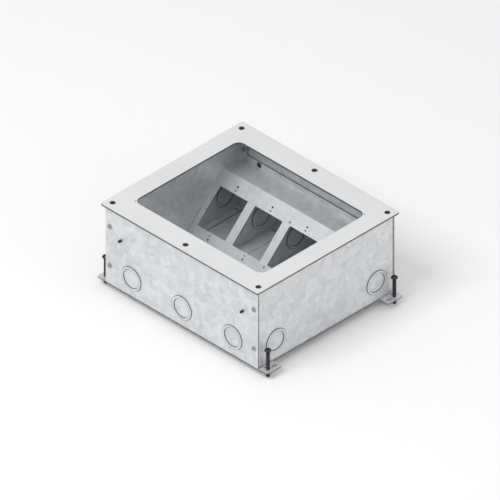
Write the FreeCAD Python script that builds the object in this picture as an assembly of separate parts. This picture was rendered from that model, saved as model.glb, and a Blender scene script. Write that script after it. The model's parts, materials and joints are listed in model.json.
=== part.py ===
import FreeCAD, Part
import math
import os

from FreeCAD import Vector

# Floor socket box: a sheet steel box that is cast into a floor. A thick top frame carries the cover,
# two sloped brackets inside carry the sockets, and four levelling screws set its height.
# +X is to the right, +Y to the back and +Z up. The origin lies in the plane of the levelling screws'
# tips, under the middle of the box. All lengths are in millimetres.

# ---- sheet and box ----
SHEET = 1.9                     # 14 gauge steel
BEND_INNER = 1.0
RELIEF = 0.5                    # slot that parts two bent edges at a corner
FIT = 0.3                       # gap between sheets that slide past each other in assembly
BOX_LENGTH = 345.2              # outside, along X
BOX_DEPTH = 308.5               # outside, along Y
BOX_HEIGHT = 167.4              # from the levelling screws' tips to the top of the frame
STAND_HEIGHT = 11.9             # bottom plate above the levelling screws' tips
RETURN_WIDTH = 15.9             # bent edges of the four walls

# ---- top frame ----
FRAME_OVERHANG_X = 5.6          # past the box on each side
FRAME_OVERHANG_Y = 6.85
FRAME_RIM_X = 33.95             # from the frame's edge to the opening
FRAME_RIM_Y = 42.35
FRAME_THICKNESS = 3.2
FRAME_CORNER_RADIUS = 3.0
OPENING_CORNER_RADIUS = 12.7
FRAME_SCREW_IN_X = 7.5          # in from the side wall's outside
FRAME_SCREW_IN_Y = 8.2          # in from the end wall's outside
COVER_HOLE_RADIUS = 1.25
COVER_HOLE_IN_X = 1.75          # inside the opening's square corner; the two lie at opposite corners
COVER_HOLE_IN_Y = 1.85

# ---- knockouts, two trade sizes on one centre ----
KNOCKOUT_RADII = (17.4, 22.1)
KNOCKOUT_RISE = 1.2             # how far the outer ring is sheared out of the sheet
END_KNOCKOUT_PITCH = 114.3
END_KNOCKOUT_HEIGHT = 33.8      # above the bottom plate's top
SIDE_KNOCKOUT_IN = 40.4         # in from the end wall's outside
SIDE_KNOCKOUT_HEIGHT = 36.0

# ---- feet and levelling screws ----
FOOT_REACH = 20.3               # out from the side wall
FOOT_WIDTH = 34.0
FOOT_CORNER_RADIUS = 4.0
FOOT_SCREW_OUT = 11.1           # levelling screw's axis, out from the side wall
FOOT_SCREW_IN = 11.05           # and in from the end wall
FOOT_COLLAR_RADIUS = 4.6        # collar drawn down around the tapped hole
FOOT_COLLAR_HEIGHT = 2.2
FOOT_SLOT_LENGTH = 10.0
FOOT_SLOT_WIDTH = 4.8
FOOT_SLOT_OUT = 12.4
FOOT_SLOT_IN = 23.8
FOOT_PIN_HOLE_RADIUS = 1.6
FOOT_PIN_HOLE_OUT = 4.7
LEVEL_SCREW_RADIUS = 3.175
LEVEL_SCREW_LENGTH = 50.0       # under the head
LEVEL_SCREW_TIP_CHAMFER = 0.8
LEVEL_HEAD_RADIUS = 5.8
LEVEL_HEAD_HEIGHT = 4.6
LEVEL_SLOT_WIDTH = 1.6
LEVEL_SLOT_DEPTH = 2.2
LEVEL_RUNNING_CLEARANCE = 0.05

# ---- screws and nuts ----
SCREW_CLEARANCE = 0.25          # clearance holes, on the radius
THREAD_CLEARANCE = 0.05         # tapped holes and nuts, on the radius
FRAME_SCREW_RADIUS = 2.4
FRAME_SCREW_LENGTH = 12.7
FLAT_HEAD_RADIUS = 4.85
FLAT_HEAD_ANGLE = 82.0
FLAT_HEAD_SUNK = 0.1
PANEL_SCREW_RADIUS = 2.4
PANEL_SCREW_LENGTH = 9.5
PANEL_HEAD_RADIUS = 4.7
PANEL_HEAD_HEIGHT = 2.5
PANEL_SCREW_INSET = 9.5         # in from the side wall's outside
PANEL_SCREW_SPACING = 76.2
PANEL_SCREW_HEIGHT = 35.7       # lower screw above the bottom plate's top
CLINCH_NUT_RADIUS = 3.9
CLINCH_NUT_HEIGHT = 3.0
FLOOR_SCREW_RADIUS = 1.75
FLOOR_SCREW_LENGTH = 8.0
FLOOR_HEAD_RADIUS = 3.4
FLOOR_HEAD_HEIGHT = 2.2
FLOOR_SCREW_OUT = 8.4           # from the upright sheet that the tab belongs to
FLOOR_SCREW_IN = 22.25          # in from the end wall's outside
FACE_SCREW_RADIUS = 1.4
FACE_SCREW_LENGTH = 6.0
FACE_HEAD_RADIUS = 2.2
FACE_HEAD_HEIGHT = 1.2

# ---- device brackets and dividers ----
UPSTAND_HEIGHT = 11.8
SHELF_HEIGHT = 90.8             # shelf's top above the bottom plate's top
CHANNEL_WIDTH = 44.8            # between the ends of the two slopes
BRACKET_FOOT_DEPTH = 14.0
BRACKET_FOOT_SCREW_X = 100.0
REAR_BRACKET_SCREW_X = 129.5
FRONT_BRACKET_SCREW_X = 138.0
BRACKET_SCREW_HEIGHT = 5.9      # above the shelf
WINDOW_COUNT = 4
WINDOW_PITCH = 78.55
FIRST_WINDOW_X = -127.4
WINDOW_WIDTH = 62.0
WINDOW_END_GAP = 5.12           # from the window's end to the device screw's axis
WINDOW_CORNER_RADIUS = 0.8
DEVICE_CENTRE = 64.25           # down the slope from the bend
DEVICE_SCREW_SPACING = 83.34
PLATE_SCREW_GAP = 6.75          # from the device screw's axis to the plate screw's
DEVICE_SCREW_HOLE_RADIUS = 1.5
PLATE_SCREW_HOLE_RADIUS = 1.9
DIVIDER_OFFSET = 39.9           # divider's right face, right of the window's centre
DIVIDER_TAB_WIDTH = 23.5
FACE_TAB_WIDTH = 9.5
FACE_SCREW_OUT = 4.3            # from the divider's face
FACE_SCREW_SPACING = 83.34

# ---- places worked out from the sizes above ----
BEND_OUTER = BEND_INNER + SHEET
FLOOR_TOP = STAND_HEIGHT + SHEET
WALL_TOP = BOX_HEIGHT - FRAME_THICKNESS
HALF_LENGTH = BOX_LENGTH / 2
HALF_DEPTH = BOX_DEPTH / 2
INNER_HALF_LENGTH = HALF_LENGTH - SHEET
INNER_HALF_DEPTH = HALF_DEPTH - SHEET
FRAME_HALF_LENGTH = HALF_LENGTH + FRAME_OVERHANG_X
FRAME_HALF_DEPTH = HALF_DEPTH + FRAME_OVERHANG_Y
OPENING_HALF_LENGTH = FRAME_HALF_LENGTH - FRAME_RIM_X
OPENING_HALF_DEPTH = FRAME_HALF_DEPTH - FRAME_RIM_Y
FRAME_SCREW_X = HALF_LENGTH - FRAME_SCREW_IN_X
FRAME_SCREW_Y = HALF_DEPTH - FRAME_SCREW_IN_Y
RETURN_EDGE_X = HALF_LENGTH - RETURN_WIDTH
RETURN_FACE_Y = INNER_HALF_DEPTH - SHEET        # inner face of any sheet that lies on an end wall
SIDE_KNOCKOUT_Y = HALF_DEPTH - SIDE_KNOCKOUT_IN
FLOOR_SCREW_Y = HALF_DEPTH - FLOOR_SCREW_IN
SHELF_TOP = FLOOR_TOP + SHELF_HEIGHT
TAB_TOP = FLOOR_TOP + SHEET
SLOPE_DROP = SHELF_TOP - TAB_TOP
SLOPE_END_Y = CHANNEL_WIDTH / 2
SHELF_BEND_Y = SLOPE_END_Y + SLOPE_DROP
SLOPE_DOWN = Vector(0, -1, -1).normalize()
SLOPE_NORMAL = Vector(0, -1, 1).normalize()
FLAT_HEAD_SLOPE = math.tan(math.radians(FLAT_HEAD_ANGLE / 2))
SLOPE_GAP_Y = SHEET * math.sqrt(2)      # the sloped sheet's thickness, measured level
FOOT_SCREW_X = HALF_LENGTH + FOOT_SCREW_OUT
FOOT_SCREW_Y = HALF_DEPTH - FOOT_SCREW_IN
WINDOW_LENGTH = DEVICE_SCREW_SPACING - 2 * WINDOW_END_GAP      # along the slope
PLATE_SCREW_SPACING = DEVICE_SCREW_SPACING + 2 * PLATE_SCREW_GAP
WINDOW_CENTRES = [FIRST_WINDOW_X + i * WINDOW_PITCH for i in range(WINDOW_COUNT)]
DIVIDER_FACES = [x + DIVIDER_OFFSET for x in WINDOW_CENTRES[:-1]]
MIDDLE_DIVIDER = len(DIVIDER_FACES) // 2        # the one that is screwed to the slope

X_AXIS, Y_AXIS, Z_AXIS = Vector(1, 0, 0), Vector(0, 1, 0), Vector(0, 0, 1)
ORIGIN = Vector(0, 0, 0)


# ---- shape tools ----
def block(low, high):
    """Box between two corners."""
    size = [b - a for a, b in zip(low, high)]
    return Part.makeBox(*size, Vector(*low))


def rod(start, direction, radius, length):
    return Part.makeCylinder(radius, length, start, direction)


def joined(shapes):
    return shapes[0].multiFuse(shapes[1:]).removeSplitter() if len(shapes) > 1 else shapes[0]


def turned(shape):
    """Copy of a rear piece as its front twin, turned half round about the box's middle."""
    copy = shape.copy()
    copy.rotate(ORIGIN, Z_AXIS, 180)
    return copy


def mirrored(shape):
    """Copy of a right-hand piece as its left-hand twin."""
    return shape.mirror(ORIGIN, X_AXIS)


def outline(corners, radii):
    """Closed wire through the corners, each rounded to its radius."""
    edges, ends = [], []
    count = len(corners)
    for i, corner in enumerate(corners):
        back = (corners[i - 1] - corner).normalize()
        ahead = (corners[(i + 1) % count] - corner).normalize()
        if radii[i] <= 0:
            ends.append((corner, None, corner))
            continue
        half = back.getAngle(ahead) / 2
        reach = radii[i] / math.tan(half)
        centre = corner + (back + ahead).normalize() * (radii[i] / math.sin(half))
        middle = centre + (corner - centre).normalize() * radii[i]
        ends.append((corner + back * reach, middle, corner + ahead * reach))
    for i, (start, middle, end) in enumerate(ends):
        if middle is not None:
            edges.append(Part.Arc(start, middle, end).toShape())
        next_start = ends[(i + 1) % count][0]
        if end.distanceToPoint(next_start) > 1e-6:
            edges.append(Part.LineSegment(end, next_start).toShape())
    return Part.Wire(edges)


def plate(corners, radii, thickness):
    """Flat sheet over an outline; thickness is the vector through it."""
    return Part.Face(outline(corners, radii)).extrude(thickness)


def even_plate(corners, radius, thickness):
    """Flat sheet with the same radius at every corner."""
    return plate(corners, [radius] * len(corners), thickness)


def rectangle(half_x, half_y, z):
    signs = ((-1, -1), (1, -1), (1, 1), (-1, 1))
    return [Vector(sx * half_x, sy * half_y, z) for sx, sy in signs]


def bent_sheet(path, run, side):
    """Sheet whose outer face follows the path, bent at each inner corner, along the vector run.

    side is +1 or -1 and picks the side of the path that the sheet's thickness lies on.
    """
    along = Vector(run).normalize()
    normals = [along.cross((b - a).normalize()) * side for a, b in zip(path, path[1:])]
    inner = [path[0] + normals[0] * SHEET]
    outer_radii, inner_radii = [0], [0]
    for corner, first, second in zip(path[1:-1], normals, normals[1:]):
        inner.append(corner + (first + second) * (SHEET / (1 + first.dot(second))))
        leg = path[path.index(corner) + 1] - corner
        turns_inward = leg.dot(first) > 0
        outer_radii.append(BEND_OUTER if turns_inward else BEND_INNER)
        inner_radii.append(BEND_INNER if turns_inward else BEND_OUTER)
    inner.append(path[-1] + normals[-1] * SHEET)
    outer_radii.append(0)
    inner_radii.append(0)
    return plate(path + inner[::-1], outer_radii + inner_radii[::-1], run)


def revolved(profile, base, axis):
    """Solid of revolution; profile lists (radius, height) from the axis out and back to it."""
    points = [Vector(r, 0, h) for r, h in profile]
    face = Part.Face(Part.makePolygon(points + points[:1]))
    solid = face.revolve(ORIGIN, Z_AXIS, 360)
    return placed(solid, base, axis)


def placed(shape, base, axis):
    """Moves a shape made on +Z at the origin to a base point and axis."""
    shape.Placement = FreeCAD.Placement(base, FreeCAD.Rotation(Z_AXIS, axis))
    return shape


def domed_head(radius, height):
    """Round head on +Z, a slice of a ball on a short straight rim."""
    rim = height * 0.3
    rise = height - rim
    ball = (radius ** 2 + rise ** 2) / (2 * rise)
    half_angle = math.asin(radius / ball) / 2
    edge, top = Vector(radius, 0, rim), Vector(0, 0, height)
    middle = Vector(ball * math.sin(half_angle), 0, height - ball + ball * math.cos(half_angle))
    foot = Vector(radius, 0, 0)
    lines = [Part.LineSegment(a, b).toShape() for a, b in ((ORIGIN, foot), (foot, edge), (top, ORIGIN))]
    dome = Part.Arc(edge, middle, top).toShape()
    return Part.Face(Part.Wire(lines[:2] + [dome] + lines[2:])).revolve(ORIGIN, Z_AXIS, 360)


def pan_screw(seat, outward, radius, length, head_radius, head_height):
    """Screw whose head rests on seat and points outward."""
    head = domed_head(head_radius, head_height)
    shank = rod(ORIGIN, -Z_AXIS, radius, length)
    return placed(joined([head, shank]), seat, outward)


def clinch_nut(seat, direction, height):
    """Round nut that stands on seat and rises along direction."""
    bore = PANEL_SCREW_RADIUS + THREAD_CLEARANCE
    return rod(seat, direction, CLINCH_NUT_RADIUS, height).cut(rod(seat, direction, bore, height))


def hole(point, axis, radius):
    """Cutter through any sheet near the point."""
    reach = 2 * SHEET + FRAME_THICKNESS
    return rod(point - axis * reach, axis, radius, 2 * reach)


def with_knockouts(sheet, centres, outward):
    """Sheet with a double knockout at each centre: the outer ring is sheared part way out of the sheet."""
    inner, outer = KNOCKOUT_RADII
    ring = rod(ORIGIN, -Z_AXIS, outer, SHEET).cut(rod(ORIGIN, -Z_AXIS, inner, SHEET))
    gaps = [placed(ring.copy(), centre, outward) for centre in centres]
    raised = [placed(ring.copy(), centre + outward * KNOCKOUT_RISE, outward) for centre in centres]
    return joined([sheet.cut(gaps)] + raised)


def on_slope(x, distance):
    """Point on the rear bracket's sloped face, a distance down from its bend."""
    return Vector(x, SHELF_BEND_Y, SHELF_TOP) + SLOPE_DOWN * distance


# ---- places that several pieces share ----
def frame_screw_places():
    return [(column * FRAME_SCREW_X, row * FRAME_SCREW_Y) for column in (-1, 0, 1) for row in (-1, 1)]


def panel_screw_places():
    """(x, z) of the screws along both edges of an end wall."""
    lower = FLOOR_TOP + PANEL_SCREW_HEIGHT
    half = HALF_LENGTH - PANEL_SCREW_INSET
    return [(side * half, z) for side in (-1, 1) for z in (lower, lower + PANEL_SCREW_SPACING)]


def side_floor_screw_places():
    x = INNER_HALF_LENGTH - FLOOR_SCREW_OUT
    return [(x, side * FLOOR_SCREW_Y) for side in (-1, 1)]


def divider_floor_screw_places():
    return [(face + FLOOR_SCREW_OUT, FLOOR_SCREW_Y) for face in DIVIDER_FACES]


def bracket_floor_screw_places():
    y = SLOPE_END_Y - BRACKET_FOOT_DEPTH / 2
    return [(side * BRACKET_FOOT_SCREW_X, y) for side in (-1, 1)]


def face_screw_places():
    x = DIVIDER_FACES[MIDDLE_DIVIDER] + FACE_SCREW_OUT
    return [on_slope(x, DEVICE_CENTRE + side * FACE_SCREW_SPACING / 2) for side in (-1, 1)]


# ---- top frame ----
def top_frame():
    up = Z_AXIS * FRAME_THICKNESS
    body = even_plate(rectangle(FRAME_HALF_LENGTH, FRAME_HALF_DEPTH, WALL_TOP), FRAME_CORNER_RADIUS, up)
    opening = even_plate(rectangle(OPENING_HALF_LENGTH, OPENING_HALF_DEPTH, WALL_TOP),
                         OPENING_CORNER_RADIUS, up)
    cuts = [opening]
    bore = FRAME_SCREW_RADIUS + SCREW_CLEARANCE
    mouth = FLAT_HEAD_RADIUS + FLAT_HEAD_SUNK * FLAT_HEAD_SLOPE + THREAD_CLEARANCE
    sink = (mouth - bore) / FLAT_HEAD_SLOPE
    for x, y in frame_screw_places():
        cuts.append(hole(Vector(x, y, WALL_TOP), Z_AXIS, bore))
        cuts.append(Part.makeCone(bore, mouth, sink, Vector(x, y, BOX_HEIGHT - sink)))
    for side in (-1, 1):
        corner = Vector(OPENING_HALF_LENGTH - COVER_HOLE_IN_X, OPENING_HALF_DEPTH - COVER_HOLE_IN_Y, 0)
        cuts.append(hole(corner * side + Z_AXIS * WALL_TOP, Z_AXIS, COVER_HOLE_RADIUS))
    return body.cut(cuts)


def frame_screws():
    sink = (FLAT_HEAD_RADIUS - FRAME_SCREW_RADIUS) / FLAT_HEAD_SLOPE
    profile = [(0, 0), (FLAT_HEAD_RADIUS, 0), (FRAME_SCREW_RADIUS, -sink),
               (FRAME_SCREW_RADIUS, -FRAME_SCREW_LENGTH), (0, -FRAME_SCREW_LENGTH)]
    top = BOX_HEIGHT - FLAT_HEAD_SUNK
    return [revolved(profile, Vector(x, y, top), Z_AXIS) for x, y in frame_screw_places()]


def frame_clinch_nuts():
    seat = WALL_TOP - SHEET
    return [clinch_nut(Vector(x, y, seat), -Z_AXIS, CLINCH_NUT_HEIGHT) for x, y in frame_screw_places()]


# ---- walls ----
def end_panel(bracket_screw_x):
    """Front wall: a flat sheet over the side walls' bent edges, with one bent edge under the frame."""
    lip_half = RETURN_EDGE_X - RELIEF
    wall = block((-HALF_LENGTH, -HALF_DEPTH, FLOOR_TOP), (HALF_LENGTH, -INNER_HALF_DEPTH, WALL_TOP))
    notch = block((-lip_half - RELIEF, -HALF_DEPTH, WALL_TOP - BEND_OUTER),
                  (lip_half + RELIEF, -INNER_HALF_DEPTH, WALL_TOP))
    lip = bent_sheet([Vector(-lip_half, -HALF_DEPTH, WALL_TOP - BEND_OUTER),
                      Vector(-lip_half, -HALF_DEPTH, WALL_TOP),
                      Vector(-lip_half, -HALF_DEPTH + RETURN_WIDTH, WALL_TOP)],
                     Vector(2 * lip_half, 0, 0), -1)
    panel = joined([wall.cut(notch), lip])
    screw_bore = PANEL_SCREW_RADIUS + SCREW_CLEARANCE
    cuts = [hole(Vector(x, -HALF_DEPTH, z), Y_AXIS, screw_bore) for x, z in panel_screw_places()]
    cuts += [hole(Vector(side * bracket_screw_x, -HALF_DEPTH, SHELF_TOP + BRACKET_SCREW_HEIGHT), Y_AXIS,
                  screw_bore) for side in (-1, 1)]
    cuts.append(hole(Vector(0, -FRAME_SCREW_Y, WALL_TOP), Z_AXIS, FRAME_SCREW_RADIUS + SCREW_CLEARANCE))
    height = FLOOR_TOP + END_KNOCKOUT_HEIGHT
    centres = [Vector(i * END_KNOCKOUT_PITCH, -HALF_DEPTH, height) for i in (-1, 0, 1)]
    return with_knockouts(panel.cut(cuts), centres, -Y_AXIS)


def right_side_panel():
    """Side wall with a bent edge on all four sides."""
    flat_y = INNER_HALF_DEPTH - BEND_OUTER
    low, high = FLOOR_TOP + BEND_OUTER, WALL_TOP - BEND_OUTER
    wall = block((INNER_HALF_LENGTH, -flat_y, low), (HALF_LENGTH, flat_y, high))
    pieces = [wall]
    for side in (-1, 1):
        pieces.append(bent_sheet([Vector(HALF_LENGTH, side * flat_y, low),
                                  Vector(HALF_LENGTH, side * INNER_HALF_DEPTH, low),
                                  Vector(RETURN_EDGE_X, side * INNER_HALF_DEPTH, low)],
                                 Z_AXIS * (high - low), side))
    lip_half = RETURN_FACE_Y - RELIEF
    for level, bend, side in ((FLOOR_TOP, low, -1), (WALL_TOP, high, 1)):
        pieces.append(bent_sheet([Vector(HALF_LENGTH, -lip_half, bend),
                                  Vector(HALF_LENGTH, -lip_half, level),
                                  Vector(RETURN_EDGE_X, -lip_half, level)],
                                 Y_AXIS * (2 * lip_half), -side))
    panel = joined(pieces)
    cuts = [hole(Vector(x, side * INNER_HALF_DEPTH, z), Y_AXIS, PANEL_SCREW_RADIUS + SCREW_CLEARANCE)
            for x, z in panel_screw_places() if x > 0 for side in (-1, 1)]
    cuts += [hole(Vector(x, y, WALL_TOP), Z_AXIS, FRAME_SCREW_RADIUS + SCREW_CLEARANCE)
             for x, y in frame_screw_places() if x > 0]
    cuts += [hole(Vector(x, y, TAB_TOP), Z_AXIS, FLOOR_SCREW_RADIUS + SCREW_CLEARANCE)
             for x, y in side_floor_screw_places()]
    height = FLOOR_TOP + SIDE_KNOCKOUT_HEIGHT
    centres = [Vector(HALF_LENGTH, side * SIDE_KNOCKOUT_Y, height) for side in (-1, 1)]
    return with_knockouts(panel.cut(cuts), centres, X_AXIS)


def panel_screws():
    """Pan-head screws of the front wall."""
    return [pan_screw(Vector(x, -HALF_DEPTH, z), -Y_AXIS, PANEL_SCREW_RADIUS, PANEL_SCREW_LENGTH,
                      PANEL_HEAD_RADIUS, PANEL_HEAD_HEIGHT) for x, z in panel_screw_places()]


def panel_clinch_nuts():
    front = [clinch_nut(Vector(x, -RETURN_FACE_Y, z), Y_AXIS, CLINCH_NUT_HEIGHT)
             for x, z in panel_screw_places()]
    return front + [turned(nut) for nut in front]


# ---- bottom plate with its feet ----
def foot_outline():
    """Front right foot; it starts inside the plate so that the two join."""
    inside = HALF_LENGTH - SHEET
    tip = HALF_LENGTH + FOOT_REACH
    corners = [Vector(inside, -HALF_DEPTH, STAND_HEIGHT), Vector(tip, -HALF_DEPTH, STAND_HEIGHT),
               Vector(tip, -HALF_DEPTH + FOOT_WIDTH, STAND_HEIGHT),
               Vector(inside, -HALF_DEPTH + FOOT_WIDTH, STAND_HEIGHT)]
    return plate(corners, [0, FOOT_CORNER_RADIUS, FOOT_CORNER_RADIUS, 0], Z_AXIS * SHEET)


def foot_cuts():
    """Tapped hole, anchor slot and pin hole of the front right foot."""
    x = HALF_LENGTH + FOOT_SLOT_OUT
    y = -HALF_DEPTH + FOOT_SLOT_IN
    half_w, half_l = FOOT_SLOT_WIDTH / 2, FOOT_SLOT_LENGTH / 2
    straight = half_l - half_w
    bottom = STAND_HEIGHT - SHEET
    slot = joined([block((x - half_w, y - straight, bottom), (x + half_w, y + straight, FLOOR_TOP + SHEET)),
                   rod(Vector(x, y - straight, bottom), Z_AXIS, half_w, 3 * SHEET),
                   rod(Vector(x, y + straight, bottom), Z_AXIS, half_w, 3 * SHEET)])
    tapped = hole(Vector(FOOT_SCREW_X, -FOOT_SCREW_Y, FLOOR_TOP), Z_AXIS,
                  LEVEL_SCREW_RADIUS + LEVEL_RUNNING_CLEARANCE)
    pin = hole(Vector(HALF_LENGTH + FOOT_PIN_HOLE_OUT, -FOOT_SCREW_Y, FLOOR_TOP), Z_AXIS,
               FOOT_PIN_HOLE_RADIUS)
    return [slot, tapped, pin]


def four_corners(shape):
    """Front right shape, and its copies at the other three corners."""
    right = [shape, shape.mirror(ORIGIN, Y_AXIS)]
    return right + [mirrored(copy) for copy in right]


def bottom_plate():
    base = block((-HALF_LENGTH, -HALF_DEPTH, STAND_HEIGHT), (HALF_LENGTH, HALF_DEPTH, FLOOR_TOP))
    collar = rod(Vector(FOOT_SCREW_X, -FOOT_SCREW_Y, STAND_HEIGHT - FOOT_COLLAR_HEIGHT), Z_AXIS,
                 FOOT_COLLAR_RADIUS, FOOT_COLLAR_HEIGHT)
    solid = joined([base] + four_corners(foot_outline()) + four_corners(collar))
    cuts = [copy for cutter in foot_cuts() for copy in four_corners(cutter)]
    tapped = FLOOR_SCREW_RADIUS + THREAD_CLEARANCE
    right = side_floor_screw_places()
    rear = divider_floor_screw_places() + bracket_floor_screw_places()
    places = right + [(-x, y) for x, y in right] + rear + [(-x, -y) for x, y in rear]
    cuts += [hole(Vector(x, y, FLOOR_TOP), Z_AXIS, tapped) for x, y in places]
    return solid.cut(cuts)


def levelling_screw(x, y):
    """Slotted round-head screw; its tip stands on the plane of the origin."""
    tip = LEVEL_SCREW_RADIUS - LEVEL_SCREW_TIP_CHAMFER
    profile = [(0, 0), (tip, 0), (LEVEL_SCREW_RADIUS, LEVEL_SCREW_TIP_CHAMFER),
               (LEVEL_SCREW_RADIUS, LEVEL_SCREW_LENGTH), (0, LEVEL_SCREW_LENGTH)]
    shank = revolved(profile, ORIGIN, Z_AXIS)
    head = domed_head(LEVEL_HEAD_RADIUS, LEVEL_HEAD_HEIGHT)
    top = LEVEL_HEAD_HEIGHT
    slot = block((-LEVEL_SLOT_WIDTH / 2, -LEVEL_HEAD_RADIUS, top - LEVEL_SLOT_DEPTH),
                 (LEVEL_SLOT_WIDTH / 2, LEVEL_HEAD_RADIUS, top))
    head = head.cut(slot)
    head.translate(Z_AXIS * LEVEL_SCREW_LENGTH)
    screw = joined([shank, head])
    screw.translate(Vector(x, y, 0))
    return screw


# ---- device brackets ----
def device_bracket(bracket_screw_x):
    """Rear bracket: upstand on the end wall, level shelf, sloped device panel and foot on the bottom."""
    half = INNER_HALF_LENGTH - FIT
    path = [Vector(-half, RETURN_FACE_Y, SHELF_TOP + UPSTAND_HEIGHT),
            Vector(-half, RETURN_FACE_Y, SHELF_TOP),
            Vector(-half, SHELF_BEND_Y, SHELF_TOP),
            Vector(-half, SLOPE_END_Y, TAB_TOP),
            Vector(-half, SLOPE_END_Y - BRACKET_FOOT_DEPTH, TAB_TOP)]
    sheet = bent_sheet(path, Vector(2 * half, 0, 0), 1)
    narrow = RETURN_EDGE_X - FIT
    back = RETURN_FACE_Y - FIT
    cuts = []
    for side in (-1, 1):
        near, far = sorted((side * narrow, side * HALF_LENGTH))
        cuts.append(block((near, back, STAND_HEIGHT), (far, HALF_DEPTH, WALL_TOP)))
        cuts.append(block((near, 0, STAND_HEIGHT), (far, SHELF_BEND_Y, TAB_TOP + FIT)))
    for x in WINDOW_CENTRES:
        cuts.append(window_cut(x))
        for spacing, radius in ((DEVICE_SCREW_SPACING, DEVICE_SCREW_HOLE_RADIUS),
                                (PLATE_SCREW_SPACING, PLATE_SCREW_HOLE_RADIUS)):
            cuts += [hole(on_slope(x, DEVICE_CENTRE + side * spacing / 2), SLOPE_NORMAL, radius)
                     for side in (-1, 1)]
    cuts += [hole(place, SLOPE_NORMAL, FACE_SCREW_RADIUS + SCREW_CLEARANCE) for place in face_screw_places()]
    cuts += [hole(Vector(side * bracket_screw_x, RETURN_FACE_Y, SHELF_TOP + BRACKET_SCREW_HEIGHT), Y_AXIS,
                  PANEL_SCREW_RADIUS + SCREW_CLEARANCE) for side in (-1, 1)]
    cuts += [hole(Vector(x, y, TAB_TOP), Z_AXIS, FLOOR_SCREW_RADIUS + SCREW_CLEARANCE)
             for x, y in bracket_floor_screw_places()]
    return sheet.cut(cuts)


def window_cut(x):
    """Cutter for one device window in the sloped panel."""
    top = DEVICE_CENTRE - WINDOW_LENGTH / 2
    bottom = DEVICE_CENTRE + WINDOW_LENGTH / 2
    left, right = x - WINDOW_WIDTH / 2, x + WINDOW_WIDTH / 2
    corners = [on_slope(left, top), on_slope(right, top), on_slope(right, bottom), on_slope(left, bottom)]
    corners = [corner + SLOPE_NORMAL * SHEET for corner in corners]
    return even_plate(corners, WINDOW_CORNER_RADIUS, SLOPE_NORMAL * (-3 * SHEET))


def bracket_screws(bracket_screw_x):
    """Pan-head screws through the rear upstand; their ends stand out of the end wall."""
    height = SHELF_TOP + BRACKET_SCREW_HEIGHT
    return [pan_screw(Vector(side * bracket_screw_x, RETURN_FACE_Y, height), -Y_AXIS, PANEL_SCREW_RADIUS,
                      PANEL_SCREW_LENGTH, PANEL_HEAD_RADIUS, PANEL_HEAD_HEIGHT) for side in (-1, 1)]


# ---- dividers ----
def divider(number):
    """Rear divider: upright sheet that fills the space under the bracket, with a tab on the bottom."""
    face = DIVIDER_FACES[number]
    outer = face - SHEET
    back = INNER_HALF_DEPTH - FIT
    top = SHELF_TOP - SHEET - FIT
    slope = SLOPE_END_Y + SLOPE_GAP_Y + FIT * math.sqrt(2)      # the slope's underside at the tab's top
    base = FLOOR_TOP + BEND_OUTER
    low_front = slope + base - TAB_TOP
    high_front = slope + top - TAB_TOP
    wall = even_plate([Vector(outer, back, base), Vector(outer, back, top), Vector(outer, high_front, top),
                       Vector(outer, low_front, base)], 0, X_AXIS * SHEET)
    tab_front = low_front + RELIEF
    tab = bent_sheet([Vector(outer, tab_front, base), Vector(outer, tab_front, FLOOR_TOP),
                      Vector(face + DIVIDER_TAB_WIDTH, tab_front, FLOOR_TOP)],
                     Y_AXIS * (back - tab_front), -1)
    pieces = [wall, tab]
    cuts = [hole(Vector(face + FLOOR_SCREW_OUT, FLOOR_SCREW_Y, TAB_TOP), Z_AXIS,
                 FLOOR_SCREW_RADIUS + SCREW_CLEARANCE)]
    if number == MIDDLE_DIVIDER:
        pieces[0] = wall.cut(slope_lip_room(outer))
        pieces.append(slope_lip(outer))
        cuts += [hole(place, SLOPE_NORMAL, FACE_SCREW_RADIUS + THREAD_CLEARANCE)
                 for place in face_screw_places()]
    centre = Vector(face, SIDE_KNOCKOUT_Y, FLOOR_TOP + SIDE_KNOCKOUT_HEIGHT)
    return with_knockouts(joined(pieces).cut(cuts), [centre], X_AXIS)


def slope_lip_ends():
    """How far down the slope the middle divider's sloped lip starts and ends."""
    reach = FACE_SCREW_SPACING / 2 + 3 * FACE_SCREW_RADIUS
    return DEVICE_CENTRE - reach, DEVICE_CENTRE + reach


def slope_lip(outer):
    """Lip bent from the middle divider, flat against the sloped panel's underside."""
    start, end = slope_lip_ends()
    under = SLOPE_NORMAL * -SHEET
    corner = on_slope(outer, start) + under
    return bent_sheet([corner - SLOPE_NORMAL * BEND_OUTER, corner, corner + X_AXIS * FACE_TAB_WIDTH],
                      SLOPE_DOWN * (end - start), -1)


def slope_lip_room(outer):
    """Cutter that trims the divider's edge where the lip's bend starts."""
    start, end = slope_lip_ends()
    start, end = start - RELIEF, end + RELIEF
    corner = on_slope(outer, start) - SLOPE_NORMAL * SHEET
    across = SLOPE_NORMAL * -BEND_OUTER
    down = SLOPE_DOWN * (end - start)
    return even_plate([corner, corner + down, corner + down + across, corner + across], 0, X_AXIS * SHEET)


def floor_screws(places):
    return [pan_screw(Vector(x, y, TAB_TOP), Z_AXIS, FLOOR_SCREW_RADIUS, FLOOR_SCREW_LENGTH,
                      FLOOR_HEAD_RADIUS, FLOOR_HEAD_HEIGHT) for x, y in places]


def divider_face_screws():
    return [pan_screw(place, SLOPE_NORMAL, FACE_SCREW_RADIUS, FACE_SCREW_LENGTH, FACE_HEAD_RADIUS,
                      FACE_HEAD_HEIGHT) for place in face_screw_places()]


# ---- the assembly ----
def side_name(x, y):
    return ("front" if y < 0 else "back") + "_" + ("left" if x < 0 else "right")


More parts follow.
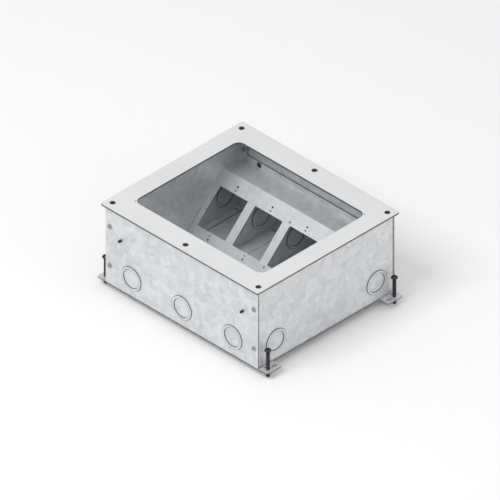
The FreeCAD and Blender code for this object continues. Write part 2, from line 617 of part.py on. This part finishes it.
def all_nodes():
    """Every node's name and its solids."""
    right_panel = right_side_panel()
    side_screws = floor_screws(side_floor_screw_places())
    rear_screws = bracket_screws(REAR_BRACKET_SCREW_X)
    nodes = {
        "top_frame": [top_frame()],
        "frame_screws": frame_screws(),
        "frame_clinch_nuts": frame_clinch_nuts(),
        "front_panel": [end_panel(FRONT_BRACKET_SCREW_X)],
        "back_panel": [turned(end_panel(REAR_BRACKET_SCREW_X))],
        "right_side_panel": [right_panel],
        "left_side_panel": [mirrored(right_panel)],
        "front_panel_screws": panel_screws(),
        "back_panel_screws": [turned(screw) for screw in panel_screws()],
        "panel_clinch_nuts": panel_clinch_nuts(),
        "bottom_plate": [bottom_plate()],
        "side_panel_floor_screws": side_screws + [mirrored(screw) for screw in side_screws],
        "rear_device_bracket": [device_bracket(REAR_BRACKET_SCREW_X)],
        "front_device_bracket": [turned(device_bracket(FRONT_BRACKET_SCREW_X))],
        "rear_bracket_screws": rear_screws,
        "front_bracket_screws": [turned(screw) for screw in bracket_screws(FRONT_BRACKET_SCREW_X)],
    }
    for number in range(len(DIVIDER_FACES)):
        shape = divider(number)
        nodes[f"rear_divider_{number + 1}"] = [shape]
        nodes[f"front_divider_{number + 1}"] = [turned(shape)]
    rear_groups = {"divider_floor_screws": floor_screws(divider_floor_screw_places()),
                   "divider_face_screws": divider_face_screws(),
                   "bracket_floor_screws": floor_screws(bracket_floor_screw_places())}
    for name, solids in rear_groups.items():
        nodes[f"rear_{name}"] = solids
        nodes[f"front_{name}"] = [turned(solid) for solid in solids]
    for x in (-FOOT_SCREW_X, FOOT_SCREW_X):
        for y in (-FOOT_SCREW_Y, FOOT_SCREW_Y):
            nodes["levelling_screw_" + side_name(x, y)] = [levelling_screw(x, y)]
    return nodes


def export(nodes):
    os.makedirs("parts", exist_ok=True)
    for name, solids in nodes.items():
        shape = solids[0] if len(solids) == 1 else Part.makeCompound(solids)
        if not shape.isValid():
            raise ValueError(name + " is not a valid shape")
        shape.exportStep(f"parts/{name}.step")


export(all_nodes())
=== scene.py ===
"""Looks of a sheet steel floor socket box: plated sheet, punched edges, threaded screws and a studio."""

import contextlib
import functools
import json
import math

import bmesh
import bpy
from mathutils import Matrix, Vector


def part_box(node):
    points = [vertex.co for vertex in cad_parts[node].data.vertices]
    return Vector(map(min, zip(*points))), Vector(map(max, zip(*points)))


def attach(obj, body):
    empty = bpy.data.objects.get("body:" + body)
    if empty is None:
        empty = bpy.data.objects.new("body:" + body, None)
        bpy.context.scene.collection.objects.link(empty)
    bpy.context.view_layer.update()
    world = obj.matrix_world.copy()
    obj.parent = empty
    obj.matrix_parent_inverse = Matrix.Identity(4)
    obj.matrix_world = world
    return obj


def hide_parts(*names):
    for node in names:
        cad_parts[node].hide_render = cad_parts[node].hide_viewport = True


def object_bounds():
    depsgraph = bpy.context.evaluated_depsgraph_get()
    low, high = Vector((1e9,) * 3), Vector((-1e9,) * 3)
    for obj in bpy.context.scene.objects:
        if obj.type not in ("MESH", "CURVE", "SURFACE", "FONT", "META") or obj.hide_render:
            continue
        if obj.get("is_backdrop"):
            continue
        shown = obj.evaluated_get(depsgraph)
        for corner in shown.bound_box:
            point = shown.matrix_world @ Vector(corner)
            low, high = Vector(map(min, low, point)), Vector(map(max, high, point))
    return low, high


MM = 0.001
SAME_PLACE = 1e-7               # vertices this near, in metres, are one
FACING_SHARE = 0.9              # cosine from which a face counts as facing a direction

# ---- colours of the finishes, linear ----
ZINC_LIGHT = (0.72, 0.73, 0.74)
ZINC_DARK = (0.57, 0.585, 0.605)
PLATE_LIGHT = (0.80, 0.805, 0.81)
PLATE_DARK = (0.71, 0.72, 0.73)
# bare steel on cut faces, also the colour of the painted shade beside knockout rims
CUT_STEEL_AND_SHADE = (0.13, 0.135, 0.14)
SCREW_LIGHT = (0.38, 0.385, 0.395)
SCREW_DARK = (0.20, 0.205, 0.215)
BLACK_OXIDE = (0.018, 0.018, 0.02)
BLACK_WORN = (0.10, 0.10, 0.105)
FLOOR_WHITE = (0.90, 0.90, 0.90)

# ---- patterns of the finishes, waves along a metre ----
GRAIN_WAVES = 90.0              # zinc grains
FINE_GRAIN_WAVES = 240.0
SHEET_CLOUD_WAVES = 9.0
PLATE_CLOUD_WAVES = 7.0
BRUSH_WAVES = 900.0             # fine lines on the frame
BRUSH_STRETCH = (0.03, 1, 1)    # drawn out along X
ZINC_SPOT_WAVES = 700.0
OXIDE_SPOT_WAVES = 500.0

# ---- sheet, metres ----
KNOCKOUT_RIMS = (17.4 * MM, 22.1 * MM)
KNOCKOUT_REACH = 24 * MM        # from a knockout's centre, past its outer rim
RIM_SHADE_WIDTH = 0.9 * MM             # width of the painted shade of the shear gap, partly a dark burr, beside a sheared rim
GRAIN_BUMP = 0.03 * MM
FINE_BUMP = 0.02 * MM
RETURN_WIDTH = 15.9 * MM        # bent edges of the side walls
RETURN_MARGIN = 2 * MM
TOP_EDGE = 0.1 * MM             # of a bracket's upstand, counted as cut

# ---- screws, metres ----
LEVEL_THREAD_PITCH = 1.27 * MM
SMALL_THREAD_PITCH = 0.8 * MM
LEVEL_THREAD_SIDES = 28
SMALL_THREAD_SIDES = 16
THREAD_ROWS = 8                 # rings of vertices in one turn
THREAD_DEPTH_SHARE = 0.55       # of the pitch
THREAD_FLANK = 1.25             # steepness, for a crest and a root that are a little flat
THREAD_CREST = 0.2
THREAD_ROOT = 0.9
THREAD_SEAM = 0.001 * MM        # closed where the thread's grid meets itself
TIP_CHAMFER_SHARE = 0.25        # of the shank's radius
FLAT_HEAD_ANGLE = 82.0
HEAD_SIDES = 32
DOME_STEPS = 5
RIM_SHARE = 0.3                 # straight rim of a round head, of its height
SEAT_ALLOWANCE = 0.01 * MM
RECESS_OVERRUN = 1 * MM         # of the recess's cutter, past the head's crown
RECESS_SPAN_SHARE = 0.58        # cross recess from arm to arm, of the head's diameter
RECESS_ARM_SHARE = 0.24         # width of an arm, of the head's radius
RECESS_DEPTH_SHARE = 0.36       # of the head's radius
RECESS_TAPER = 0.55

# ---- camera and light ----
VIEW_AZIMUTH = 45.0
VIEW_ELEVATION = 35.264
VIEW_WIDTH = 0.80073            # metres across the view
VIEW_AIM = Vector((0, 0, 0.0841))
VIEW_DISTANCE = 6.0
VIEW_END = 30.0
FLOOR_SIZE = 16.0
SKY_LIGHT = 0.75
SKY_SEEN = 0.95                 # as the camera sees it beyond the floor

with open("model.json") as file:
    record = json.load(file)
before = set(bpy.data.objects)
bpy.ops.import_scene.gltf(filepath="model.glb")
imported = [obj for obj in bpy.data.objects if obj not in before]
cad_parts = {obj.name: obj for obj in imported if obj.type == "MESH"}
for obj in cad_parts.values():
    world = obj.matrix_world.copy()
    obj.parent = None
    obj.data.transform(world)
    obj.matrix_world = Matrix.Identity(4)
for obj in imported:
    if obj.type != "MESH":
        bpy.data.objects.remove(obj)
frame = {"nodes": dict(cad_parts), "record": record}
CAD_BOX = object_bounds()
NODES = frame["nodes"]
MOUNTS = {mount["name"]: mount for mount in frame["record"]["mounts"]}
X, Y, Z = (1, 0, 0), (0, 1, 0), (0, 0, 1)


# ---- node trees ----
class Value:
    """A number socket; arithmetic on it adds Math nodes."""

    def __init__(self, tree, socket):
        self.tree = tree
        self.socket = socket

    def math(self, operation, *inputs):
        node = self.tree.nodes.new("ShaderNodeMath")
        node.operation = operation
        for slot, value in zip(node.inputs, inputs):
            plug(self.tree, slot, value)
        return Value(self.tree, node.outputs[0])

    def __add__(self, other):
        return self.math("ADD", self, other)

    def __sub__(self, other):
        return self.math("SUBTRACT", self, other)

    def __mul__(self, other):
        return self.math("MULTIPLY", self, other)

    def __truediv__(self, other):
        return self.math("DIVIDE", self, other)

    def __rsub__(self, other):
        return self.math("SUBTRACT", other, self)

    __radd__ = __add__
    __rmul__ = __mul__

    def above(self, limit):
        return self.math("GREATER_THAN", self, limit)

    def size(self):
        return self.math("ABSOLUTE", self)

    def fraction(self):
        return self.math("FRACT", self)

    def smaller(self, other):
        return self.math("MINIMUM", self, other)

    def larger(self, other):
        return self.math("MAXIMUM", self, other)

    def sine(self):
        return self.math("SINE", self)

    def cosine(self):
        return self.math("COSINE", self)


def plug(tree, slot, value):
    """Sets an input socket to a constant, or links it to another socket."""
    if isinstance(value, Value):
        value = value.socket
    if isinstance(value, bpy.types.NodeSocket):
        tree.links.new(value, slot)
    elif slot.type == "RGBA":
        slot.default_value = (*value, 1.0)
    else:
        slot.default_value = value


class Graph:
    """A node tree with one short way to add any node."""

    def __init__(self, tree):
        self.tree = tree
        tree.nodes.clear()

    def add(self, kind, settings=None, **sockets):
        """Adds a node; sockets go by name, with _ for a space, or by place as i0, i1 and so on."""
        node = self.tree.nodes.new(kind)
        for name, value in (settings or {}).items():
            setattr(node, name, value)
        for name, value in sockets.items():
            by_place = name[0] == "i" and name[1:].isdigit()
            slot = node.inputs[int(name[1:])] if by_place else node.inputs[name.replace("_", " ")]
            plug(self.tree, slot, value)
        return node

    def value(self, socket):
        return Value(self.tree, socket)


class Finish(Graph):
    """A material: a Principled shader and what feeds it."""

    def __init__(self, name):
        self.material = bpy.data.materials.new(name)
        self.material.use_nodes = True
        super().__init__(self.material.node_tree)
        self.shader = self.add("ShaderNodeBsdfPrincipled")
        self.add("ShaderNodeOutputMaterial", Surface=self.shader.outputs[0])
        source = self.add("ShaderNodeTexCoord")
        self.place, self.facing = source.outputs["Object"], source.outputs["Normal"]

    def noise(self, scale, detail=2.0, stretch=(1, 1, 1)):
        """Noise from 0 to 1; scale is in waves per metre."""
        spread = self.add("ShaderNodeMapping", Vector=self.place, Scale=stretch)
        node = self.add("ShaderNodeTexNoise", Vector=spread.outputs[0], Scale=scale, Detail=detail)
        return self.value(node.outputs["Fac"])

    def grains(self, scale):
        """One number from 0 to 1 for each cell of a broken pattern."""
        node = self.add("ShaderNodeTexVoronoi", Vector=self.place, Scale=scale)
        return self.value(self.add("ShaderNodeSeparateColor", i0=node.outputs["Color"]).outputs[0])

    def ramp(self, value, low, high):
        """0 below low, 1 above high and straight between."""
        node = self.add("ShaderNodeMapRange", Value=value, From_Min=low, From_Max=high)
        return self.value(node.outputs[0])

    def along(self, vector, direction):
        """How far a vector runs along a direction."""
        dot = self.add("ShaderNodeVectorMath", {"operation": "DOT_PRODUCT"}, i0=vector, i1=direction)
        return self.value(dot.outputs["Value"])

    def faces_along(self, *directions):
        """1 on the faces whose normal lies along one of the directions, either way."""
        masks = [self.along(self.facing, direction).size().above(FACING_SHARE) for direction in directions]
        return functools.reduce(Value.larger, masks)

    def distance(self, points):
        """Distance to the nearest of the points."""
        gaps = [self.add("ShaderNodeVectorMath", {"operation": "DISTANCE"}, i0=self.place, i1=point)
                for point in points]
        return functools.reduce(Value.smaller, [self.value(gap.outputs["Value"]) for gap in gaps])

    def mix(self, factor, first, second):
        node = self.add("ShaderNodeMix", {"data_type": "RGBA"}, i0=factor, i6=first, i7=second)
        return node.outputs[2]

    def bump(self, height, distance):
        node = self.add("ShaderNodeBump", Height=height, Distance=distance)
        plug(self.tree, self.shader.inputs["Normal"], node.outputs[0])

    def set(self, **sockets):
        for name, value in sockets.items():
            plug(self.tree, self.shader.inputs[name.replace("_", " ")], value)


# ---- finishes ----
def galvanised_sheet(node, cut_steel_and_rim_shade):
    """Zinc coated sheet: pale grains a centimetre wide; the mask passed in gives bare steel on cut faces
    and painted shade of the shear gap beside knockout rims.
    """
    sheet = Finish(node + "_finish")
    coarse, fine = sheet.grains(GRAIN_WAVES), sheet.grains(FINE_GRAIN_WAVES)
    clouds = sheet.noise(SHEET_CLOUD_WAVES, detail=3.0)
    tone = sheet.ramp(coarse * 0.45 + fine * 0.2 + clouds * 0.5, 0.25, 0.9)
    zinc = sheet.mix(tone, ZINC_LIGHT, ZINC_DARK)
    # the mask is 1 on bare cut steel and on the painted shade of the shear gap beside knockout rims; both
    # take the dark cut steel colour
    cut = cut_steel_and_rim_shade(sheet)
    sheet.set(Base_Color=sheet.mix(cut, zinc, CUT_STEEL_AND_SHADE), Metallic=0.45 - 0.25 * cut,
              Roughness=0.38 + coarse * 0.12 + cut * 0.2)
    sheet.bump(coarse * 0.6 + fine * 0.4, GRAIN_BUMP)
    paint(node, sheet.material)


def frame_plate():
    """Thick plated frame: fine grain along X and darker sawn edges."""
    plate = Finish("frame_plate_finish")
    grain = plate.noise(BRUSH_WAVES, stretch=BRUSH_STRETCH)
    clouds = plate.noise(PLATE_CLOUD_WAVES, detail=3.0)
    plated = plate.mix(plate.ramp(grain * 0.5 + clouds * 0.5, 0.35, 0.7), PLATE_LIGHT, PLATE_DARK)
    cut = 1.0 - plate.faces_along(Z)
    plate.set(Base_Color=plate.mix(cut, plated, CUT_STEEL_AND_SHADE), Metallic=0.4 - 0.2 * cut,
              Roughness=0.36 + grain * 0.12 + cut * 0.2)
    plate.bump(grain, FINE_BUMP)
    paint("top_frame", plate.material)


def spotted_metal(name, light, dark, metallic, waves):
    """Plated or blackened small parts, a little uneven all over."""
    metal = Finish(name)
    spots = metal.ramp(metal.noise(waves, detail=3.0), 0.45, 0.8)
    metal.set(Base_Color=metal.mix(spots, light, dark), Metallic=metallic, Roughness=0.3 + spots * 0.2)
    metal.bump(spots, FINE_BUMP)
    return metal.material


def paint(node, material):
    surfaces = NODES[node].data.materials
    surfaces.clear()
    surfaces.append(material)


# ---- sheets: where each one was cut, and painted shade beside its knockout rims ----
def knockout_cuts_and_rim_shade(sheet, centres, outward):
    """1 on the sheared rims of the knockouts in a wall, as bare steel; beside them, a painted shade of the
    shear gap, partly a burr, fades out on the faces.
    """
    distance = sheet.distance(centres)
    walls = (1.0 - sheet.faces_along(outward)) * (1.0 - distance.above(KNOCKOUT_REACH))
    # painted shade of the shear gap, partly a burr: dark at each rim, fading out on the flat face within
    # about a millimetre
    rim_shades = [1.0 - (distance - rim).size() / RIM_SHADE_WIDTH for rim in KNOCKOUT_RIMS]
    return functools.reduce(Value.larger, rim_shades, walls)


def knockout_centres(wall):
    return [mount["pos_m"] for name, mount in MOUNTS.items() if name.startswith("knockout_" + wall)]


def end_wall(side):
    centres = knockout_centres(side)

    def cut_steel_and_rim_shade(sheet):
        return knockout_cuts_and_rim_shade(sheet, centres, Y).larger(sheet.faces_along(X))

    galvanised_sheet(side + "_panel", cut_steel_and_rim_shade)


def side_wall(side):
    """Cut steel also shows on the ends of the bent edges, which lie deeper than the wall's own faces."""
    centres = knockout_centres(side)
    node = side + "_side_panel"
    inner = max(abs(corner.x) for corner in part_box(node)) - RETURN_WIDTH + RETURN_MARGIN

    def cut_steel_and_rim_shade(sheet):
        bent_ends = sheet.faces_along(X) * (1.0 - sheet.along(sheet.place, X).size().above(inner))
        return knockout_cuts_and_rim_shade(sheet, centres, X).larger(bent_ends)

    galvanised_sheet(node, cut_steel_and_rim_shade)


def device_bracket(row, slope):
    node = row + "_device_bracket"
    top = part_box(node)[1].z - TOP_EDGE

    def cut_steel_and_rim_shade(sheet):
        return sheet.faces_along(X, slope).larger(sheet.along(sheet.place, Z).above(top))

    galvanised_sheet(node, cut_steel_and_rim_shade)


def divider(node):
    """Its knockout lies as far in as the side walls' knockouts, on the upright sheet."""
    low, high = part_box(node)
    wall_x = low.x if low.y > 0 else high.x
    centres = [(wall_x, y, z) for _, y, z in knockout_centres("right") if low.y < y < high.y]
    galvanised_sheet(node, lambda sheet: knockout_cuts_and_rim_shade(sheet, centres, X).larger(sheet.faces_along(Y)))


def dress_sheets():
    frame_plate()
    galvanised_sheet("bottom_plate", lambda sheet: 1.0 - sheet.faces_along(Z))
    for side in ("front", "back"):
        end_wall(side)
    for side in ("left", "right"):
        side_wall(side)
    slant = math.sqrt(0.5)
    device_bracket("rear", (0, slant, slant))
    device_bracket("front", (0, slant, -slant))
    for node in NODES:
        if "_divider_" in node and not node.endswith("screws"):
            divider(node)


# ---- meshes ----
def close(mesh):
    """Fills a mesh's open rims and turns its faces outwards."""
    bmesh.ops.holes_fill(mesh, edges=[edge for edge in mesh.edges if edge.is_boundary])
    bmesh.ops.recalc_face_normals(mesh, faces=mesh.faces)


def copied(node, keep=None):
    """Merged copy of a CAD node's mesh; keep picks the faces, by their centre, that stay on it."""
    mesh = bmesh.new()
    mesh.from_mesh(NODES[node].data)
    bmesh.ops.remove_doubles(mesh, verts=mesh.verts, dist=SAME_PLACE)
    if keep is not None:
        drop = [face for face in mesh.faces if not keep(face.calc_center_median())]
        bmesh.ops.delete(mesh, geom=drop, context="FACES")
        close(mesh)
    return mesh


def as_object(name, mesh):
    data = bpy.data.meshes.new(name)
    mesh.to_mesh(data)
    mesh.free()
    piece = bpy.data.objects.new(name, data)
    bpy.context.scene.collection.objects.link(piece)
    return piece


def bake(piece):
    """Replaces a piece's mesh by what its modifiers make of it."""
    graph = bpy.context.evaluated_depsgraph_get()
    result = bpy.data.meshes.new_from_object(piece.evaluated_get(graph))
    piece.modifiers.clear()
    piece.data = result


@contextlib.contextmanager
def editing(piece):
    """Opens a piece's mesh for editing and writes it back."""
    mesh = bmesh.new()
    mesh.from_mesh(piece.data)
    yield mesh
    mesh.to_mesh(piece.data)
    mesh.free()


def subtract(piece, cutter):
    boolean = piece.modifiers.new("cut", "BOOLEAN")
    boolean.operation = "DIFFERENCE"
    boolean.solver = "EXACT"
    boolean.object = cutter
    bake(piece)
    bpy.data.objects.remove(cutter)
    with editing(piece) as mesh:
        bmesh.ops.triangulate(mesh, faces=mesh.faces)


def joined(name, pieces, material):
    """One piece made of several, with one material."""
    mesh = bmesh.new()
    for piece in pieces:
        mesh.from_mesh(piece.data)
        bpy.data.objects.remove(piece)
    for face in mesh.faces:
        face.material_index = 0
    whole = as_object(name, mesh)
    whole.data.materials.append(material)
    return whole


def lathe(profile):
    """Closed solid of revolution about +Z; profile runs from the axis out and back to the axis.

    It starts half a side round, so that the corners of a recess fall between its edges.
    """
    mesh = bmesh.new()
    turns = [2 * math.pi * (side + 0.5) / HEAD_SIDES for side in range(HEAD_SIDES)]
    rings = []
    for radius, height in profile:
        if radius == 0:
            rings.append([mesh.verts.new((0, 0, height))] * HEAD_SIDES)
        else:
            ring = [(radius * math.cos(turn), radius * math.sin(turn), height) for turn in turns]
            rings.append([mesh.verts.new(corner) for corner in ring])
    for low, high in zip(rings, rings[1:]):
        for side in range(HEAD_SIDES):
            after = (side + 1) % HEAD_SIDES
            mesh.faces.new(dict.fromkeys((low[side], low[after], high[after], high[side])))
    bmesh.ops.recalc_face_normals(mesh, faces=mesh.faces)
    return mesh


# ---- threads and sets of screws, made by geometry nodes ----
def geometry_tree(name, inputs):
    """Empty geometry node group with the named inputs; returns the group, its graph and its inputs."""
    group = bpy.data.node_groups.new(name, "GeometryNodeTree")
    graph = Graph(group)
    group.interface.new_socket("Geometry", in_out="OUTPUT", socket_type="NodeSocketGeometry")
    for label, kind in {"Geometry": "Geometry", **inputs}.items():
        group.interface.new_socket(label, in_out="INPUT", socket_type="NodeSocket" + kind)
    return group, graph, graph.add("NodeGroupInput").outputs


def close_tree(graph, geometry, material):
    realised = graph.add("GeometryNodeRealizeInstances", Geometry=geometry)
    painted = graph.add("GeometryNodeSetMaterial", Geometry=realised.outputs[0], Material=material)
    graph.add("NodeGroupOutput", i0=painted.outputs[0])


def run_tree(piece, group, values):
    """Runs a geometry node group on a piece and keeps the result as its plain mesh."""
    modifier = piece.modifiers.new(group.name, "NODES")
    modifier.node_group = group
    for item in group.interface.items_tree:
        if item.in_out == "INPUT" and item.name in values:
            modifier[item.identifier] = values[item.name]
    bake(piece)


def thread_tree():
    """Threaded shank on +Z: a grid rolled into a tube whose radius rises and falls along a helix."""
    inputs = {"Radius": "Float", "Pitch": "Float", "Length": "Float", "Sides": "Int", "Rows": "Int",
              "Material": "Material"}
    group, graph, given = geometry_tree("threaded_shank", inputs)
    full, pitch, length = (graph.value(given[name]) for name in ("Radius", "Pitch", "Length"))
    grid = graph.add("GeometryNodeMeshGrid", Size_X=1.0, Size_Y=1.0, Vertices_X=given["Sides"],
                     Vertices_Y=given["Rows"])
    spot = graph.add("ShaderNodeSeparateXYZ", Vector=graph.add("GeometryNodeInputPosition").outputs[0])
    turn = graph.value(spot.outputs[0]) + 0.5
    height = (graph.value(spot.outputs[1]) + 0.5) * length
    phase = (height / pitch - turn + 2.0).fraction()
    flank = (phase * 2.0 - 1.0).size() * THREAD_FLANK - THREAD_CREST
    hollow = flank.larger(0.0).smaller(THREAD_ROOT)
    tip = full * (1.0 - TIP_CHAMFER_SHARE) + height
    radius = (full - pitch * THREAD_DEPTH_SHARE * hollow).smaller(tip)
    angle = turn * (2 * math.pi)
    rolled = graph.add("ShaderNodeCombineXYZ", X=radius * angle.cosine(), Y=radius * angle.sine(), Z=height)
    moved = graph.add("GeometryNodeSetPosition", Geometry=grid.outputs["Mesh"], Position=rolled.outputs[0])
    closed = graph.add("GeometryNodeMergeByDistance", Geometry=moved.outputs[0], Distance=THREAD_SEAM)
    close_tree(graph, closed.outputs[0], given["Material"])
    return group


def set_tree():
    """Sets one screw at each point of a mesh, turned to the point's axis."""
    group, graph, given = geometry_tree("screw_set", {"Screw": "Object", "Material": "Material"})
    source = graph.add("GeometryNodeObjectInfo", Object=given["Screw"])
    axis = graph.add("GeometryNodeInputNamedAttribute", {"data_type": "FLOAT_VECTOR"}, Name="axis")
    turn = graph.add("FunctionNodeAlignRotationToVector", {"axis": "Z"}, Vector=axis.outputs[0])
    screws = graph.add("GeometryNodeInstanceOnPoints", Points=given["Geometry"],
                       Instance=source.outputs["Geometry"], Rotation=turn.outputs[0])
    close_tree(graph, screws.outputs[0], given["Material"])
    return group


THREAD = thread_tree()
SCREW_SET = set_tree()


def threaded_shank(radius, pitch, length, sides, material):
    """Closed threaded rod from the origin up +Z, chamfered at its start."""
    piece = as_object("shank", bmesh.new())
    rows = round(length / pitch * THREAD_ROWS) + 1
    run_tree(piece, THREAD, {"Radius": radius, "Pitch": pitch, "Length": length, "Sides": sides + 1,
                             "Rows": rows, "Material": material})
    with editing(piece) as mesh:
        close(mesh)
    return piece


def solids_of(node):
    """The vertices' places of each separate solid in a CAD node, always in the same order."""
    mesh = copied(node)
    todo = dict.fromkeys(mesh.verts)
    while todo:
        open_ends, found = [todo.popitem()[0]], []
        while open_ends:
            vertex = open_ends.pop()
            found.append(vertex.co.copy())
            for edge in vertex.link_edges:
                other = edge.other_vert(vertex)
                if other in todo:
                    del todo[other]
                    open_ends.append(other)
        yield found
    mesh.free()


class ScrewSizes:
    """Sizes of one CAD screw, read from its vertices; the seat is the head's lowest ring of full width."""

    def __init__(self, corners, axis):
        centre = sum(corners, Vector()) / len(corners)
        rings = [((corner - centre - axis * (corner - centre).dot(axis)).length, corner.dot(axis))
                 for corner in corners]
        self.head_radius = max(rings)[0]
        tip = min(height for radius, height in rings)
        seat = min(height for radius, height in rings if radius > self.head_radius - SEAT_ALLOWANCE)
        self.radius = max(radius for radius, height in rings if height < (tip + seat) / 2)
        self.length = seat - tip
        self.head_height = max(height for radius, height in rings) - seat
        self.seat = centre + axis * (seat - centre.dot(axis))


def pan_profile(sizes):
    """Round head from its underside to its crown, a slice of a ball on a short straight rim."""
    rim = sizes.head_height * RIM_SHARE
    rise = sizes.head_height - rim
    ball = (sizes.head_radius ** 2 + rise ** 2) / (2 * rise)
    edge = math.asin(sizes.head_radius / ball)
    bends = [edge * step / DOME_STEPS for step in range(DOME_STEPS, -1, -1)]
    dome = [(ball * math.sin(bend), sizes.head_height - ball * (1 - math.cos(bend))) for bend in bends]
    return [(0, 0), (sizes.head_radius, 0)] + dome


def flat_profile(sizes):
    """Countersunk head with its top at the seat."""
    sink = (sizes.head_radius - sizes.radius) / math.tan(math.radians(FLAT_HEAD_ANGLE / 2))
    return [(0, -sink), (sizes.radius, -sink), (sizes.head_radius, 0), (0, 0)]


def cross_recess(head_radius, top):
    """Cutter in the form of a plus sign that narrows downwards."""
    mesh = bmesh.new()
    rings = []
    bottom = top - head_radius * RECESS_DEPTH_SHARE
    for taper, height in ((RECESS_TAPER, bottom), (1.0, top + RECESS_OVERRUN)):
        arm = head_radius * RECESS_SPAN_SHARE * taper
        half = head_radius * RECESS_ARM_SHARE / 2
        quarter = [Vector((arm, -half, height)), Vector((arm, half, height)), Vector((half, half, height))]
        turns = [Matrix.Rotation(turn * math.pi / 2, 3, "Z") for turn in range(4)]
        rings.append([mesh.verts.new(turn @ corner) for turn in turns for corner in quarter])
    low, high = rings
    mesh.faces.new(low)
    mesh.faces.new(high)
    for side in range(len(low)):
        after = (side + 1) % len(low)
        mesh.faces.new((low[side], low[after], high[after], high[side]))
    bmesh.ops.recalc_face_normals(mesh, faces=mesh.faces)
    return mesh


def small_screw(profile, sizes, material):
    """Screw on +Z with its seat at the origin: a recessed head over a threaded shank."""
    outline = profile(sizes)
    neck, top = outline[0][1], outline[-1][1]
    head = as_object("head", lathe(outline))
    subtract(head, as_object("recess", cross_recess(sizes.head_radius, top)))
    shank_length = sizes.length + neck
    shank = threaded_shank(sizes.radius, SMALL_THREAD_PITCH, shank_length, SMALL_THREAD_SIDES, material)
    shank.data.transform(Matrix.Translation((0, 0, -sizes.length)))
    return joined("screw", [head, shank], material)


def set_screws(node, axis, profile, material):
    """Replaces a CAD node's screws by recessed and threaded ones at the same places."""
    axis = Vector(axis).normalized()
    found = [ScrewSizes(corners, axis) for corners in solids_of(node)]
    screw = small_screw(profile, found[0], material)
    data = bpy.data.meshes.new(node + "_set")
    data.from_pydata([sizes.seat for sizes in found], [], [])
    for entry in data.attributes.new("axis", "FLOAT_VECTOR", "POINT").data:
        entry.vector = axis
    piece = bpy.data.objects.new(node + "_set", data)
    bpy.context.scene.collection.objects.link(piece)
    run_tree(piece, SCREW_SET, {"Screw": screw, "Material": material})
    bpy.data.objects.remove(screw)
    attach(piece, "box")
    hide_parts(node)


def levelling_screw(corner, material):
    """Blackened round-head screw: the head as built, on a threaded shank, riding on its own body."""
    node = "levelling_screw_" + corner
    corners = next(solids_of(node))
    sizes = ScrewSizes(corners, Vector((0, 0, 1)))
    tip = min(place.z for place in corners)
    shank = threaded_shank(sizes.radius, LEVEL_THREAD_PITCH, sizes.length, LEVEL_THREAD_SIDES, material)
    shank.data.transform(Matrix.Translation((sizes.seat.x, sizes.seat.y, tip)))
    head = as_object("head", copied(node, lambda centre: centre.z > sizes.seat.z - SEAT_ALLOWANCE))
    piece = joined(node + "_threaded", [head, shank], material)
    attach(piece, node + "_body")
    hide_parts(node)


def dress_screws():
    zinc = spotted_metal("bright_zinc_finish", SCREW_LIGHT, SCREW_DARK, 0.75, ZINC_SPOT_WAVES)
    black = spotted_metal("black_oxide_finish", BLACK_OXIDE, BLACK_WORN, 0.4, OXIDE_SPOT_WAVES)
    set_screws("frame_screws", Z, flat_profile, black)
    set_screws("rear_bracket_screws", (0, -1, 0), pan_profile, black)
    set_screws("front_bracket_screws", (0, 1, 0), pan_profile, black)
    outward = {"front_panel_screws": (0, -1, 0), "back_panel_screws": (0, 1, 0),
               "rear_divider_face_screws": (0, -1, 1), "front_divider_face_screws": (0, 1, 1)}
    outward |= {name + "_floor_screws": (0, 0, 1) for name in
                ("side_panel", "rear_divider", "front_divider", "rear_bracket", "front_bracket")}
    for node, axis in outward.items():
        set_screws(node, axis, pan_profile, zinc)
    for node in ("frame_clinch_nuts", "panel_clinch_nuts"):
        paint(node, zinc)
    for corner in ("front_left", "front_right", "back_left", "back_right"):
        levelling_screw(corner, black)


# ---- studio ----
def view_direction():
    """From the object to the camera."""
    azimuth, elevation = math.radians(VIEW_AZIMUTH), math.radians(VIEW_ELEVATION)
    level = math.cos(elevation)
    return Vector((level * math.sin(azimuth), -level * math.cos(azimuth), math.sin(elevation)))


def look(thing, place, target):
    thing.location = place
    thing.rotation_euler = (place - target).to_track_quat("Z", "Y").to_euler()
    bpy.context.scene.collection.objects.link(thing)


def area_light(name, place, size, power):
    light = bpy.data.lights.new(name, "AREA")
    light.size = size
    light.energy = power
    look(bpy.data.objects.new(name, light), Vector(place), VIEW_AIM)


def studio():
    scene = bpy.context.scene
    scene.view_settings.view_transform = "Standard"
    floor_mesh = bmesh.new()
    bmesh.ops.create_grid(floor_mesh, x_segments=1, y_segments=1, size=FLOOR_SIZE / 2)
    floor = as_object("studio_floor", floor_mesh)
    paper = Finish("studio_floor_finish")
    paper.set(Base_Color=FLOOR_WHITE, Roughness=0.9)
    floor.data.materials.append(paper.material)
    floor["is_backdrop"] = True
    scene.world = bpy.data.worlds.new("studio_sky")
    scene.world.use_nodes = True
    sky = Graph(scene.world.node_tree)
    seen = sky.value(sky.add("ShaderNodeLightPath").outputs["Is Camera Ray"])
    strength = SKY_LIGHT + (SKY_SEEN - SKY_LIGHT) * seen
    backdrop = sky.add("ShaderNodeBackground", Color=(1, 1, 1), Strength=strength)
    sky.add("ShaderNodeOutputWorld", Surface=backdrop.outputs[0])
    area_light("key_light", place=(-0.2, -1.9, 2.8), size=1.5, power=48.0)
    area_light("side_light", place=(2.6, 0.2, 1.6), size=1.2, power=5.0)
    camera = bpy.data.cameras.new("main_camera")
    camera.type = "ORTHO"
    camera.ortho_scale = VIEW_WIDTH
    camera.clip_end = VIEW_END
    eye = bpy.data.objects.new("main_camera", camera)
    look(eye, VIEW_AIM + view_direction() * VIEW_DISTANCE, VIEW_AIM)
    scene.camera = eye


def save_sizes():
    """Both boxes, of the built model and of the dressed one, put into lists that are not kept."""
    boxes = {"cad": CAD_BOX, "now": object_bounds()}
    sizes = {name: [list(corner) for corner in box] for name, box in boxes.items()}


dress_sheets()
dress_screws()
studio()
save_sizes()
